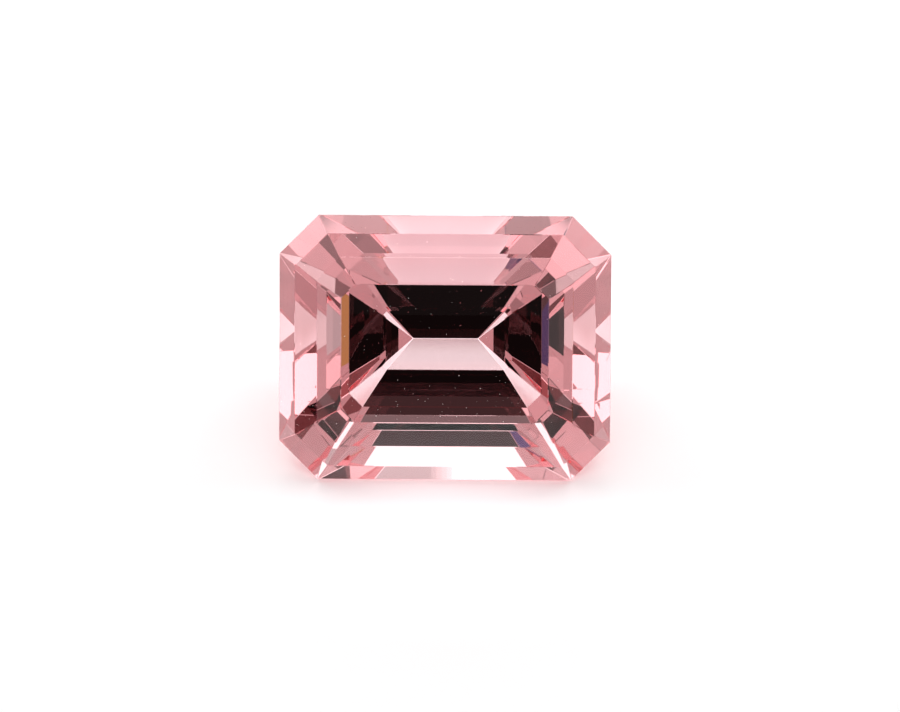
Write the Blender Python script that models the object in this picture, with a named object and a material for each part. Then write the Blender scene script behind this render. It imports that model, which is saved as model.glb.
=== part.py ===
"""A morganite cut as an octagonal step cut, lying on the widest facet of its pavilion.

Metres, +Z up. The stone is ground in its own frame, with the girdle's upper edge in the plane Z = 0
and the table above it. It is then laid down. The origin ends on the surface that the stone lies on,
under the middle of the stone.
"""

import math

import bmesh
import bpy
from mathutils import Matrix, Vector

MM = 0.001

# Outline at the girdle, the stone's widest part
LENGTH = 15.0 * MM
WIDTH = 12.04 * MM
CORNER_CUT = 1.76 * MM
GIRDLE_HEIGHT = 0.23 * MM

# Tiers of facets from the girdle outwards: slope from the girdle plane in degrees, and width in plan
SIDE_CROWN = ((51.7, 0.74 * MM), (32.2, 0.99 * MM), (26.9, 1.155 * MM))
END_CROWN = ((51.1, 0.72 * MM), (34.5, 1.02 * MM))
SIDE_PAVILION = ((49.4, 3.10 * MM), (45.0, 1.57 * MM))
END_PAVILION = ((49.2, 3.122 * MM), (46.0, 1.665 * MM))

# The corner facets meet the side facets' heights, so only their widths in plan are given
CORNER_CROWN = (0.84 * MM, 1.09 * MM, 1.31 * MM)
CORNER_PAVILION = (3.59 * MM, 1.87 * MM)

# Last tiers: half the table's length, half the keel's length, and the slope down to the keel
TABLE_HALF_LENGTH = 4.66 * MM
KEEL_HALF_LENGTH = 1.48 * MM
KEEL_SLOPE = 43.3

# Rough block that the facets are ground from, and how close to a facet a corner counts as on it
ROUGH_SIZE = 1.2 * LENGTH
ON_FACET = 0.0005 * MM

PALE_PINK = (0.93, 0.62, 0.62, 1.0)
POLISH = 0.02

ROOT_TWO = math.sqrt(2)
HALF_LENGTH = LENGTH / 2
HALF_WIDTH = WIDTH / 2
CORNER_REACH = (HALF_LENGTH + HALF_WIDTH - CORNER_CUT) / ROOT_TWO
END_ANGLES = (0, 180)
SIDE_ANGLES = (90, 270)
CORNER_ANGLES = (45, 135, 225, 315)


def clear_scene():
    for item in list(bpy.data.objects):
        bpy.data.objects.remove(item, do_unlink=True)


def tier_edges(reach, height, direction, tiers):
    """Edges of a stack of facets as (distance from the axis, height); direction is 1 up, -1 down."""
    edges = [(reach, height)]
    for slope, width in tiers:
        reach -= width
        height += direction * width * math.tan(math.radians(slope))
        edges.append((reach, height))
    return edges


def corner_edges(widths, side_edges):
    """Edges of a stack of corner facets, at the heights of the side facets' edges."""
    reach = CORNER_REACH
    edges = [(reach, side_edges[0][1])]
    for width, (_, height) in zip(widths, side_edges[1:]):
        reach -= width
        edges.append((reach, height))
    return edges


def crown_stacks():
    """The facet edges above the girdle for each direction that the facets face."""
    sides = tier_edges(HALF_WIDTH, 0.0, 1, SIDE_CROWN)
    ends = tier_edges(HALF_LENGTH, 0.0, 1, END_CROWN)
    ends.append((TABLE_HALF_LENGTH, sides[-1][1]))
    return ((END_ANGLES, ends), (SIDE_ANGLES, sides), (CORNER_ANGLES, corner_edges(CORNER_CROWN, sides)))


def pavilion_stacks():
    """The facet edges below the girdle for each direction that the facets face."""
    sides = tier_edges(HALF_WIDTH, -GIRDLE_HEIGHT, -1, SIDE_PAVILION)
    ends = tier_edges(HALF_LENGTH, -GIRDLE_HEIGHT, -1, END_PAVILION)
    corners = corner_edges(CORNER_PAVILION, sides)
    last_reach, last_height = sides[-1]
    keel_height = last_height - last_reach * math.tan(math.radians(KEEL_SLOPE))
    sides.append((0.0, keel_height))
    ends.append((KEEL_HALF_LENGTH, keel_height))
    corners.append((KEEL_HALF_LENGTH / ROOT_TWO, keel_height))
    return ((END_ANGLES, ends), (SIDE_ANGLES, sides), (CORNER_ANGLES, corners))


def rough_block():
    bm = bmesh.new()
    bmesh.ops.create_cube(bm, size=ROUGH_SIZE)
    return bm


def grind(bm, point, normal):
    """Takes off all that lies beyond one flat facet and closes the stone there."""
    cut = bmesh.ops.bisect_plane(
        bm,
        geom=bm.verts[:] + bm.edges[:] + bm.faces[:],
        dist=ON_FACET,
        plane_co=point,
        plane_no=normal.normalized(),
        clear_outer=True,
    )
    rim = [item for item in cut["geom_cut"] if isinstance(item, bmesh.types.BMEdge)]
    bmesh.ops.holes_fill(bm, edges=rim, sides=0)


def grind_facets(bm, angles, upper, lower):
    """Grinds the like facets at all these angles, between an upper and a lower edge."""
    run = lower[0] - upper[0]
    rise = upper[1] - lower[1]
    for angle in angles:
        turn = Matrix.Rotation(math.radians(angle), 3, "Z")
        point = turn @ Vector((lower[0], 0.0, lower[1]))
        grind(bm, point, turn @ Vector((rise, 0.0, run)))


def cut_stone():
    """The stone in its own frame, as a closed mesh of flat facets."""
    bm = rough_block()
    crown = crown_stacks()
    pavilion = pavilion_stacks()
    table_height = crown[0][1][-1][1]
    grind(bm, Vector((0.0, 0.0, table_height)), Vector((0.0, 0.0, 1.0)))
    for (angles, above), (_, below) in zip(crown, pavilion):
        grind_facets(bm, angles, above[0], below[0])
    for angles, edges in crown:
        for lower, upper in zip(edges, edges[1:]):
            grind_facets(bm, angles, upper, lower)
    for angles, edges in pavilion:
        for upper, lower in zip(edges, edges[1:]):
            grind_facets(bm, angles, upper, lower)
    return bm


def lay_down(bm):
    """Turns the widest pavilion facet of the near side down, and centres the stone over the origin."""
    resting_slope = math.radians(SIDE_PAVILION[0][0])
    bmesh.ops.rotate(bm, verts=bm.verts, matrix=Matrix.Rotation(resting_slope, 3, "X"))
    depths = [vert.co.y for vert in bm.verts]
    lowest = min(vert.co.z for vert in bm.verts)
    middle = (min(depths) + max(depths)) / 2
    bmesh.ops.translate(bm, verts=bm.verts, vec=(0.0, -middle, -lowest))


def pink_stone():
    """Clear pale pink stone with a high polish."""
    material = bpy.data.materials.new("pink_stone")
    material.use_nodes = True
    shader = material.node_tree.nodes["Principled BSDF"]
    shader.inputs["Base Color"].default_value = PALE_PINK
    shader.inputs["Roughness"].default_value = POLISH
    shader.inputs["Metallic"].default_value = 0.0
    material.diffuse_color = PALE_PINK
    return material


def build():
    clear_scene()
    bm = cut_stone()
    lay_down(bm)
    mesh = bpy.data.meshes.new("morganite")
    bm.to_mesh(mesh)
    bm.free()
    mesh.materials.append(pink_stone())
    collection = bpy.data.collections.new("cut_morganite")
    bpy.context.scene.collection.children.link(collection)
    collection.objects.link(bpy.data.objects.new("morganite", mesh))


build()
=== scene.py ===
"""The looks of a cut morganite: clear pale pink stone on a white surface, in a soft white light tent."""

import math
import random

import bmesh
import bpy
from mathutils import Matrix, Vector


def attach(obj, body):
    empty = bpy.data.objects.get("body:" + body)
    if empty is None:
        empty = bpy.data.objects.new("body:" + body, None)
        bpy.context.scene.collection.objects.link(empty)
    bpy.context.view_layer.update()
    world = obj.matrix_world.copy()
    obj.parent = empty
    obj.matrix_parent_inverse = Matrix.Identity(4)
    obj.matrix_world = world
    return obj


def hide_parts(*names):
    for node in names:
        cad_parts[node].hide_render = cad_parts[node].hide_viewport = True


MM = 0.001

# Camera: a long lens, nearly square to the table
CAMERA_DISTANCE = 271.5 * MM
CAMERA_CLIP = (0.01, 10.0)
TABLE_LEAN = 7.36
CAMERA_YAW = -0.34
CAMERA_ROLL = -0.32
SENSOR_WIDTH = 36.0
IMAGE_WIDTH = 900
IMAGE_HEIGHT = 712
PIXEL = 0.04525 * MM
GIRDLE_CENTRE_IN_IMAGE = (445.0, 348.0)
CROWN_HEIGHT = 2.146 * MM

# Stone
REFRACTION = 1.58
ABSORPTION_COLOUR = (0.89, 0.16, 0.215, 1.0)
ABSORPTION_DENSITY = 60.0
CLEAR = (1.0, 1.0, 1.0, 1.0)
WELD = 0.0005 * MM
FLAT_ANGLE = math.radians(0.4)
EDGE_WIDTH = 0.018 * MM

# A facet whose normal rises at least this much faces up
FACES_UP = 0.3

# Dust: fine pale specks on the facets that face up, thickest towards the near edge of the table
DUST_SEED = 5
DUST_COUNT = 280
DUST_FAR_SHARE = 0.35
DUST_NEAR_REACH = -1.2 * MM
DUST_COLOUR = (0.85, 0.82, 0.80, 1.0)
DUST_BROWN = (0.55, 0.50, 0.46, 1.0)
DUST_PALE = (0.95, 0.94, 0.92, 1.0)
DUST_ROUGHNESS = 0.9
DUST_MOTTLE = 20000.0
GRAIN_RADII = (0.007 * MM, 0.020 * MM)
GRAIN_FINENESS = 2.5
GRAIN_STRETCH = (0.6, 1.3)
GRAIN_LUMPS = (0.8, 1.15)
GRAIN_LIFT = 0.6

# Surface: white near the stone, greyer further off
FLOOR_HALF = 2.0
FLOOR_GAP = 0.01 * MM
FLOOR_ROUGHNESS = 0.3
FLOOR_SPECULAR = 0.3
WHITE_NEAR = (0.95, 0.95, 0.95, 1.0)
GREY_FAR = (0.63, 0.63, 0.63, 1.0)
FADE_START = 30 * MM
FADE_END = 60 * MM

# Ellipses on the surface: place of the centre along Y, half sizes along X and Y, share of the radius
# that is the core, and strength in the core. A painted shadow greys the surface where the stone
# rests on it. Painted light makes the surface glow faintly under and behind the stone, and just in front of
# it.
CONTACT_SHADOW_PATCH = (-1.2 * MM, 6.5 * MM, 2.6 * MM, 0.6, 1.0)
PAINTED_CONTACT_SHADOW = (0.38, 0.38, 0.38, 1.0)
PAINTED_LIGHT_POOLS = (
    (6.2 * MM, 12 * MM, 7.5 * MM, 0.3, 1.1),
    (-8.2 * MM, 15 * MM, 6 * MM, 0.1, 0.65),
)
# Colour of the painted light that glows on the surface round the stone
PAINTED_LIGHT_COLOUR = (0.28, 0.42, 0.44, 1.0)

# Light levels, from glare to black, and the few tints of things round the tent
TENT_COLOUR = (0.66, 0.65, 0.65, 1.0)
GLARE = (2.5, 2.5, 2.5)
BRIGHT = (1.9, 1.9, 1.9)
STRONG = (1.3, 1.3, 1.3)
LIGHT = (0.85, 0.85, 0.85)
SOFT = (0.62, 0.62, 0.62)
GREY = (0.4, 0.4, 0.4)
DIM = (0.28, 0.28, 0.28)
SHADE = (0.17, 0.17, 0.17)
DARK = (0.06, 0.05, 0.05)
BLACK = (0.005, 0.005, 0.005)
ROSE = (0.4, 0.2, 0.2)
WINE = (0.22, 0.14, 0.14)
WINE_DARK = (0.12, 0.05, 0.05)
AMBER = (0.5, 0.33, 0.06)
BLUE = (0.0, 0.05, 0.3)
COOL = (0.0, 0.02, 0.15)

# Studio: panels on a sphere round the stone. Azimuth 0 is the camera's side and 90 is to its right.
# Each panel has a name, its azimuths and elevations, and its light. Later ones cover earlier ones.
STUDIO_RADIUS = 320 * MM
STUDIO_CENTRE_HEIGHT = 5 * MM
PANEL_STEP = 4.0
SOFTBOX = ("softbox", (112, 248), (7, 90), BRIGHT)

# A card behind the stone that darkens in steps from its edge inwards
CARD_EDGE = 180.3
CARD_END = 186.0
CARD_STEP = 0.11
CARD_STEPS = 5
CARD_ELEVATIONS = (31, 36)
CARD_LEVELS = (1.5, 0.76)

# The panels, cards and gaps that cover the softbox and the tent
PANELS = (
    ("back_corner_card", (150, 166), (52, 60), SOFT),
    ("back_gap", (166, 194), (55, 64), BLACK),
    ("back_top", (155, 205), (74, 85), DIM),
    ("overhead", (-50, 50), (70, 78), GLARE),
    ("overhead_left", (-50, -20), (68, 70), GLARE),
    ("overhead_right", (20, 50), (68, 70), GLARE),
    ("brow", (-12, 12), (51.5, 55), ROSE),
    ("brow_left", (-13, 0), (55, 64), LIGHT),
    ("brow_right", (0, 13), (55, 64), STRONG),
    ("brow_middle", (-4, 4), (55, 64), SHADE),
    ("ring", (-14, 14), (29, 51.5), SHADE),
    ("lens_opening", (-10, 10), (29, 51), BLACK),
    ("lens_rim", (-10, 10), (33.9, 35.2), DARK),
    ("front_dim", (-13, 13), (15, 29), WINE_DARK),
    ("front_spot", (-7.5, 7.5), (15, 20.5), LIGHT),
    ("front_low", (-13, 13), (0, 15), SOFT),
    ("wine_left", (-62, -54), (67, 73), WINE_DARK),
    ("wine_right", (54, 62), (67, 73), WINE),
    ("right_high", (80, 104), (44, 60), STRONG),
    ("left_high", (-104, -80), (44, 60), LIGHT),
    ("right_middle", (71, 80), (36, 50), LIGHT),
    ("right_slot", (66, 71), (36, 50), DIM),
    ("left_middle", (-80, -66), (36, 50), STRONG),
    ("right_step", (76, 90), (24, 36), LIGHT),
    ("left_step", (-90, -78), (30, 36), WINE),
    ("left_ledge", (-90, -78), (24, 30), LIGHT),
    ("left_blue", (-80, -74), (20, 24.5), BLUE),
    ("right_inner", (45, 53), (21, 34), GREY),
    ("right_spot", (53, 56.5), (25, 34), STRONG),
    ("right_brown", (50.5, 53), (21.5, 25), WINE),
    ("left_inner", (-57, -45), (21, 34), LIGHT),
    ("left_hole", (-62, -57), (25, 29), DARK),
    ("right_gap", (46, 51.5), (16.5, 21), DARK),
    ("left_gap", (-51, -46), (16.5, 21), BLACK),
    ("right_low", (36, 46.3), (0, 16.5), SOFT),
    ("right_slit", (46.3, 49), (9.5, 12.5), BLACK),
    ("left_low", (-52, -36), (0, 16.5), LIGHT),
    ("right_foot", (52, 60), (0, 7), WINE_DARK),
    ("left_foot", (-60, -52), (0, 7), DARK),
    ("right_card", (61.5, 72), (14, 24), SOFT),
    ("left_card", (-74, -62), (14, 24), GREY),
    ("left_cool", (-67.5, -62), (6, 14), COOL),
    ("left_dark", (-80, -67.5), (0, 14), BLACK),
    ("right_warm", (62, 66.5), (8, 14), AMBER),
    ("right_foot_card", (66.5, 80), (0, 14), SOFT),
)

# Bounces of light that are followed: in all, through or off the stone, and off the surface
ALL_BOUNCES = 40
STONE_BOUNCES = 32
SURFACE_BOUNCES = 6


def principled(name, colour, roughness):
    material = bpy.data.materials.new(name)
    material.use_nodes = True
    shader = material.node_tree.nodes["Principled BSDF"]
    shader.inputs["Base Color"].default_value = colour
    shader.inputs["Roughness"].default_value = roughness
    return material, shader


def link(name, data):
    thing = bpy.data.objects.new(name, data)
    bpy.context.scene.collection.objects.link(thing)
    return thing


def link_mesh(name, bm, material):
    mesh = bpy.data.meshes.new(name)
    bm.to_mesh(mesh)
    bm.free()
    mesh.materials.append(material)
    return link(name, mesh)


def crystal_material():
    """Clear polished stone; its pink comes from what the light loses on its way through."""
    material, shader = principled("clear_pink_crystal", CLEAR, 0.0)
    shader.inputs["Transmission Weight"].default_value = 1.0
    shader.inputs["IOR"].default_value = REFRACTION
    nodes, links = material.node_tree.nodes, material.node_tree.links
    volume = nodes.new("ShaderNodeVolumeAbsorption")
    volume.inputs["Color"].default_value = ABSORPTION_COLOUR
    volume.inputs["Density"].default_value = ABSORPTION_DENSITY
    links.new(volume.outputs["Volume"], nodes["Material Output"].inputs["Volume"])
    return material


def make_crystal(node):
    """The stone with the fine worn line that each facet edge has."""
    bm = bmesh.new()
    bm.from_mesh(node.data)
    bmesh.ops.remove_doubles(bm, verts=bm.verts, dist=WELD)
    bmesh.ops.dissolve_limit(bm, angle_limit=FLAT_ANGLE, verts=bm.verts, edges=bm.edges)
    bmesh.ops.bevel(
        bm,
        geom=bm.edges[:],
        offset=EDGE_WIDTH,
        offset_type="OFFSET",
        segments=1,
        affect="EDGES",
        clamp_overlap=True,
    )
    for face in bm.faces:
        face.smooth = False
    return link_mesh("crystal", bm, crystal_material())


def dust_material():
    """Matt grains, some browner and some paler."""
    material, shader = principled("pale_dust", DUST_COLOUR, DUST_ROUGHNESS)
    nodes, links = material.node_tree.nodes, material.node_tree.links
    noise = nodes.new("ShaderNodeTexNoise")
    noise.inputs["Scale"].default_value = DUST_MOTTLE
    ramp = nodes.new("ShaderNodeValToRGB")
    ramp.color_ramp.elements[0].color = DUST_BROWN
    ramp.color_ramp.elements[1].color = DUST_PALE
    links.new(noise.outputs["Fac"], ramp.inputs["Fac"])
    links.new(ramp.outputs["Color"], shader.inputs["Base Color"])
    return material


def spot_on(face, verts, chance):
    """A random point on a flat convex face."""
    corners = [verts[i].co for i in face.vertices]
    fans = [(corners[0], b, c) for b, c in zip(corners[1:], corners[2:])]
    areas = [(b - a).cross(c - a).length for a, b, c in fans]
    a, b, c = chance.choices(fans, areas)[0]
    u, v = chance.random(), chance.random()
    if u + v > 1:
        u, v = 1 - u, 1 - v
    return a + (b - a) * u + (c - a) * v


def add_grain(bm, spot, normal, chance):
    """One lumpy grain that lies on a facet; small grains are the most common."""
    smallest, largest = GRAIN_RADII
    radius = smallest + (largest - smallest) * chance.random() ** GRAIN_FINENESS
    made = bmesh.ops.create_icosphere(bm, subdivisions=1, radius=radius)
    stretch = Matrix.Diagonal([chance.uniform(*GRAIN_STRETCH) for _ in range(3)])
    turn = Matrix.Rotation(chance.uniform(0, math.tau), 3, normal)
    for vert in made["verts"]:
        shape = stretch @ vert.co * chance.uniform(*GRAIN_LUMPS)
        vert.co = spot + turn @ shape + normal * radius * GRAIN_LIFT


def add_dust(crystal, centre, across):
    """Loose grains on the facets that face up."""
    chance = random.Random(DUST_SEED)
    mesh = crystal.data
    facets = [face for face in mesh.polygons if face.normal.z > FACES_UP]
    areas = [face.area for face in facets]
    bm = bmesh.new()
    placed = 0
    while placed < DUST_COUNT:
        face = chance.choices(facets, areas)[0]
        spot = spot_on(face, mesh.vertices, chance)
        near = (spot - centre).dot(across) < DUST_NEAR_REACH
        if not near and chance.random() > DUST_FAR_SHARE:
            continue
        add_grain(bm, spot, face.normal.copy(), chance)
        placed += 1
    return link_mesh("dust", bm, dust_material())


def stone_axes(table_normal):
    """The stone's axes as columns: along its length, across it in the table, and out of the table."""
    along = Vector((1.0, 0.0, 0.0))
    return Matrix((along, table_normal.cross(along), table_normal)).transposed()


def add_camera(girdle_centre, axes):
    turn = Matrix.Rotation(math.radians(CAMERA_ROLL), 3, "Z")
    turn = turn @ Matrix.Rotation(math.radians(TABLE_LEAN), 3, "X")
    turn = turn @ Matrix.Rotation(math.radians(CAMERA_YAW), 3, "Y")
    camera_axes = axes @ turn.transposed()
    across = (GIRDLE_CENTRE_IN_IMAGE[0] - IMAGE_WIDTH / 2) * PIXEL
    up = (IMAGE_HEIGHT / 2 - GIRDLE_CENTRE_IN_IMAGE[1]) * PIXEL
    place = girdle_centre + camera_axes @ Vector((-across, -up, CAMERA_DISTANCE))
    data = bpy.data.cameras.new("camera")
    data.sensor_width = SENSOR_WIDTH
    data.lens = SENSOR_WIDTH * CAMERA_DISTANCE / (IMAGE_WIDTH * PIXEL)
    data.clip_start, data.clip_end = CAMERA_CLIP
    camera = link("camera", data)
    camera.matrix_world = Matrix.Translation(place) @ camera_axes.to_4x4()
    bpy.context.scene.camera = camera


def length_of(nodes, links, vector):
    length = nodes.new("ShaderNodeVectorMath")
    length.operation = "LENGTH"
    links.new(vector, length.inputs[0])
    return length.outputs["Value"]


def soft_step(nodes, links, value, start, end, first, last):
    """An output that goes smoothly from the first number to the last as the value goes from start to end."""
    step = nodes.new("ShaderNodeMapRange")
    step.interpolation_type = "SMOOTHSTEP"
    step.inputs["From Min"].default_value = start
    step.inputs["From Max"].default_value = end
    step.inputs["To Min"].default_value = first
    step.inputs["To Max"].default_value = last
    links.new(value, step.inputs["Value"])
    return step.outputs["Result"]


def soft_patch(nodes, links, place, patch):
    """An output that is the strength in the core of an ellipse and fades to zero at its rim."""
    centre, half_x, half_y, core, strength = patch
    ellipse = nodes.new("ShaderNodeMapping")
    ellipse.vector_type = "TEXTURE"
    ellipse.inputs["Location"].default_value = (0.0, centre, 0.0)
    ellipse.inputs["Scale"].default_value = (half_x, half_y, 1.0)
    links.new(place, ellipse.inputs["Vector"])
    radius = length_of(nodes, links, ellipse.outputs["Vector"])
    return soft_step(nodes, links, radius, core, 1.0, strength, 0.0)


def mixed(nodes, links, factor, first, second):
    """An output that goes from the first colour, or colour output, to the second as the factor rises."""
    mix = nodes.new("ShaderNodeMix")
    mix.data_type = "RGBA"
    links.new(factor, mix.inputs["Factor"])
    ends = [socket for socket in mix.inputs if socket.type == "RGBA"]
    for end, colour in zip(ends, (first, second)):
        if isinstance(colour, tuple):
            end.default_value = colour
        else:
            links.new(colour, end)
    return next(socket for socket in mix.outputs if socket.type == "RGBA")


def added(nodes, links, first, second):
    both = nodes.new("ShaderNodeMath")
    links.new(first, both.inputs[0])
    links.new(second, both.inputs[1])
    return both.outputs["Value"]


def surface_material():
    """White round the stone and greyer further off, with a painted shadow under it and a faint painted glow
    of light round it.
    """
    material, shader = principled("surface_with_painted_shade_and_light", WHITE_NEAR, FLOOR_ROUGHNESS)
    shader.inputs["Specular IOR Level"].default_value = FLOOR_SPECULAR
    # The surface's emission is painted light, given only in the ellipses round the stone
    shader.inputs["Emission Color"].default_value = PAINTED_LIGHT_COLOUR
    nodes, links = material.node_tree.nodes, material.node_tree.links
    place = nodes.new("ShaderNodeTexCoord").outputs["Object"]
    distance = length_of(nodes, links, place)
    far = soft_step(nodes, links, distance, FADE_START, FADE_END, 0.0, 1.0)
    open_surface = mixed(nodes, links, far, WHITE_NEAR, GREY_FAR)
    # Painted shadow: the surface is greyed in an ellipse where the stone rests on it
    painted_shadow = soft_patch(nodes, links, place, CONTACT_SHADOW_PATCH)
    surface = mixed(nodes, links, painted_shadow, open_surface, PAINTED_CONTACT_SHADOW)
    links.new(surface, shader.inputs["Base Color"])
    # Painted light: faint glows on the surface under and behind the stone, and in front of it
    behind, in_front = [soft_patch(nodes, links, place, patch) for patch in PAINTED_LIGHT_POOLS]
    links.new(added(nodes, links, behind, in_front), shader.inputs["Emission Strength"])
    material.cycles.emission_sampling = "NONE"
    return material


def add_floor():
    bm = bmesh.new()
    bmesh.ops.create_grid(bm, x_segments=1, y_segments=1, size=FLOOR_HALF)
    floor = link_mesh("floor", bm, surface_material())
    floor.location.z = -FLOOR_GAP


def glow(name, colour):
    material = bpy.data.materials.new(name)
    material.use_nodes = True
    nodes, links = material.node_tree.nodes, material.node_tree.links
    nodes.remove(nodes["Principled BSDF"])
    emission = nodes.new("ShaderNodeEmission")
    emission.inputs["Color"].default_value = (*colour, 1.0)
    links.new(emission.outputs["Emission"], nodes["Material Output"].inputs["Surface"])
    material.cycles.emission_sampling = "NONE"
    return material


def on_sphere(azimuth, elevation):
    a, e = math.radians(azimuth), math.radians(elevation)
    return Vector((math.sin(a) * math.cos(e), -math.cos(a) * math.cos(e), math.sin(e)))


def steps(start, end):
    count = max(1, round((end - start) / PANEL_STEP))
    return [start + (end - start) * i / count for i in range(count + 1)]


def add_panel(name, azimuths, elevations, colour, radius):
    """A glowing piece of the studio's sphere."""
    bm = bmesh.new()
    rows = [
        [bm.verts.new(radius * on_sphere(a, e)) for a in steps(*azimuths)] for e in steps(*elevations)
    ]
    for low, high in zip(rows, rows[1:]):
        for i in range(len(low) - 1):
            bm.faces.new((low[i], low[i + 1], high[i + 1], high[i]))
    panel = link_mesh(name, bm, glow(name + "_panel", colour))
    panel.location.z = STUDIO_CENTRE_HEIGHT
    panel.visible_camera = False


def graded_card():
    """Panels that each cover the inner part of the one before."""
    bright, dark = CARD_LEVELS
    rows = []
    for i in range(CARD_STEPS):
        level = bright + (dark - bright) * i / (CARD_STEPS - 1)
        azimuths = (CARD_EDGE + i * CARD_STEP, CARD_END)
        rows.append((f"back_card_{i}", azimuths, CARD_ELEVATIONS, (level, level, level)))
    return rows


def light_studio():
    panels = (SOFTBOX, *graded_card(), *PANELS)
    for i, (name, azimuths, elevations, colour) in enumerate(panels):
        add_panel(name, azimuths, elevations, colour, STUDIO_RADIUS - i * MM)
    world = bpy.data.worlds.new("tent")
    world.use_nodes = True
    background = world.node_tree.nodes["Background"]
    background.inputs["Color"].default_value = TENT_COLOUR
    background.inputs["Strength"].default_value = 1.0
    bpy.context.scene.world = world


def set_light_paths():
    """Enough bounces for light that zigzags through the stone."""
    scene = bpy.context.scene
    scene.view_settings.view_transform = "Standard"
    scene.cycles.max_bounces = ALL_BOUNCES
    scene.cycles.transmission_bounces = STONE_BOUNCES
    scene.cycles.glossy_bounces = STONE_BOUNCES
    scene.cycles.transparent_max_bounces = STONE_BOUNCES
    scene.cycles.diffuse_bounces = SURFACE_BOUNCES
    scene.cycles.caustics_refractive = True
    scene.cycles.caustics_reflective = True
    scene.cycles.blur_glossy = 0.0
    scene.cycles.sample_clamp_indirect = 0.0


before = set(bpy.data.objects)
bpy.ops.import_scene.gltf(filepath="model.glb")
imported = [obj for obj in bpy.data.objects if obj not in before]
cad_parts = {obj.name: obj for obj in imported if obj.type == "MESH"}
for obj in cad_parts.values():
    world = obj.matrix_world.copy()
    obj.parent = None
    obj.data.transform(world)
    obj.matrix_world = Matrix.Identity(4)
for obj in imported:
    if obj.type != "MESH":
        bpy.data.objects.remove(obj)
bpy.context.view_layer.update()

crystal = make_crystal(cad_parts["morganite"])
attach(crystal, "root")
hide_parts("morganite")

table = max(crystal.data.polygons, key=lambda face: face.area * (face.normal.z > FACES_UP))
axes = stone_axes(table.normal.copy())
add_camera(table.center - table.normal * CROWN_HEIGHT, axes)
dust = add_dust(crystal, table.center.copy(), axes.col[1])
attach(dust, "root")
add_floor()
light_studio()
set_light_paths()
